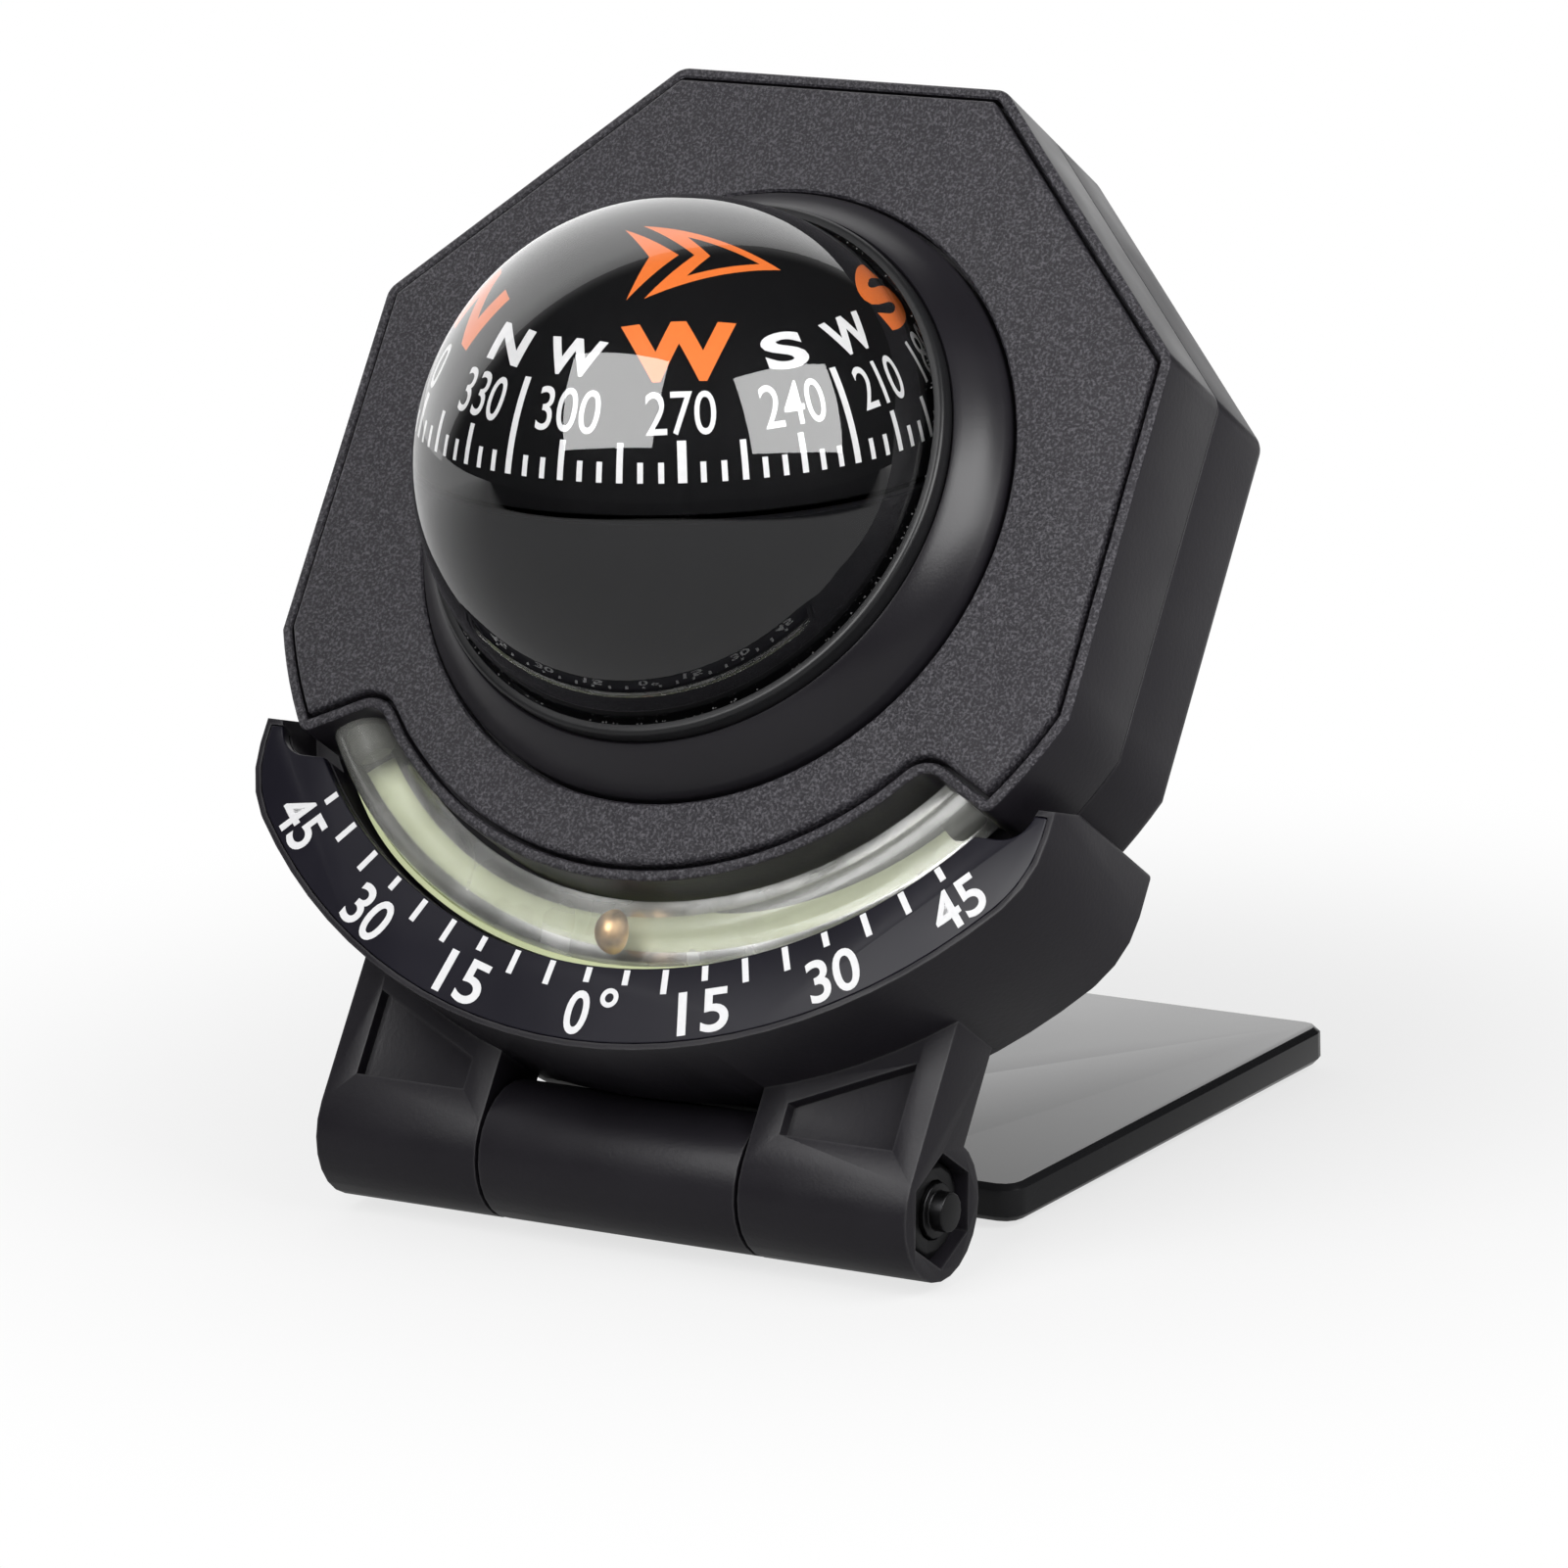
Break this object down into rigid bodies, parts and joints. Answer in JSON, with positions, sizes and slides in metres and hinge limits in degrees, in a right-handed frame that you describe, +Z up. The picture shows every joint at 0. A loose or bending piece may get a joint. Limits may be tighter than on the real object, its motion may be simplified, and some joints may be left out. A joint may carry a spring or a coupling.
{
  "type": "dashboard compass",
  "caption": "Stick-on dashboard compass: liquid-filled ball compass in an octagonal case, curved ball level with degree scale, on a bracket hinged to a flat adhesive base.",
  "frame": {"origin": "middle of the adhesive pad's underside, on the surface the compass is stuck to", "axes": "+Z up, +X to the reader's right across the face, -Y towards the reader"},
  "size_m": [0.062, 0.0678, 0.0746],
  "materials": {
    "black_moulding": "satin black moulded plastic",
    "textured_face": "spark-eroded grain",
    "satin_ring": "smooth satin",
    "gloss_black": "gloss",
    "seal_rubber": "black seal",
    "foam_tape": "foam adhesive tape",
    "clear_plastic": "clear",
    "lume": "pale yellow-green glow film",
    "brass_metal": "polished",
    "magnet_steel": "plain",
    "black_steel": "black oxide",
    "jewel": "polished"
  },
  "bodies": {
    "base": {"base_plate": "gloss_black", "adhesive_pad": "foam_tape"},
    "head": {"bracket": "black_moulding", "scale_plate": "gloss_black", "lume_strip": "lume", "level_tube": "clear_plastic", "tube_plug_left": "seal_rubber", "tube_plug_right": "seal_rubber", "front_shell": "black_moulding", "rear_shell": "black_moulding", "face_plate": "textured_face", "bezel_ring": "satin_ring", "dome_gasket": "seal_rubber", "dome": "clear_plastic", "capsule_back": "gloss_black", "fill_plug": "seal_rubber", "hinge_screw": "black_steel", "hinge_nut": "black_steel", "hinge_washer": "black_steel", "case_screw_1": "black_steel", "case_screw_2": "black_steel", "case_screw_3": "black_steel", "case_screw_4": "black_steel", "bracket_screw_1": "black_steel", "bracket_screw_2": "black_steel"},
    "float": {"ballast_bowl": "satin_ring", "ballast_weight": "brass_metal", "pivot_pin": "magnet_steel"},
    "card": {"compass_card": "gloss_black", "pivot_jewel": "jewel", "card_magnet_1": "magnet_steel", "card_magnet_2": "magnet_steel"},
    "ball": {"level_ball": "brass_metal"}
  },
  "joints": [
    {"name": "head_tilt", "type": "hinge", "parent": "base", "child": "head", "pos_m": [0, -0.0356, 0.00545], "axis": [1, 0, 0], "range_deg": [-53, 34]},
    {"name": "card_level", "type": "hinge", "parent": "head", "child": "float", "pos_m": [0, -0.02718, 0.05164], "axis": [1, 0, 0], "range_deg": [-36, 55]},
    {"name": "card_spin", "type": "hinge", "parent": "float", "child": "card", "pos_m": [0, -0.02718, 0.05164], "axis": [0, 0, 1], "continuous": true},
    {"name": "ball_roll", "type": "hinge", "parent": "head", "child": "ball", "pos_m": [0, -0.02076, 0.04721], "axis": [0, -0.8231, 0.5678], "range_deg": [-45, 45]}
  ],
  "couplings": [
    {"joint": "card_level", "follows": "head_tilt", "ratio": -1}
  ]
}
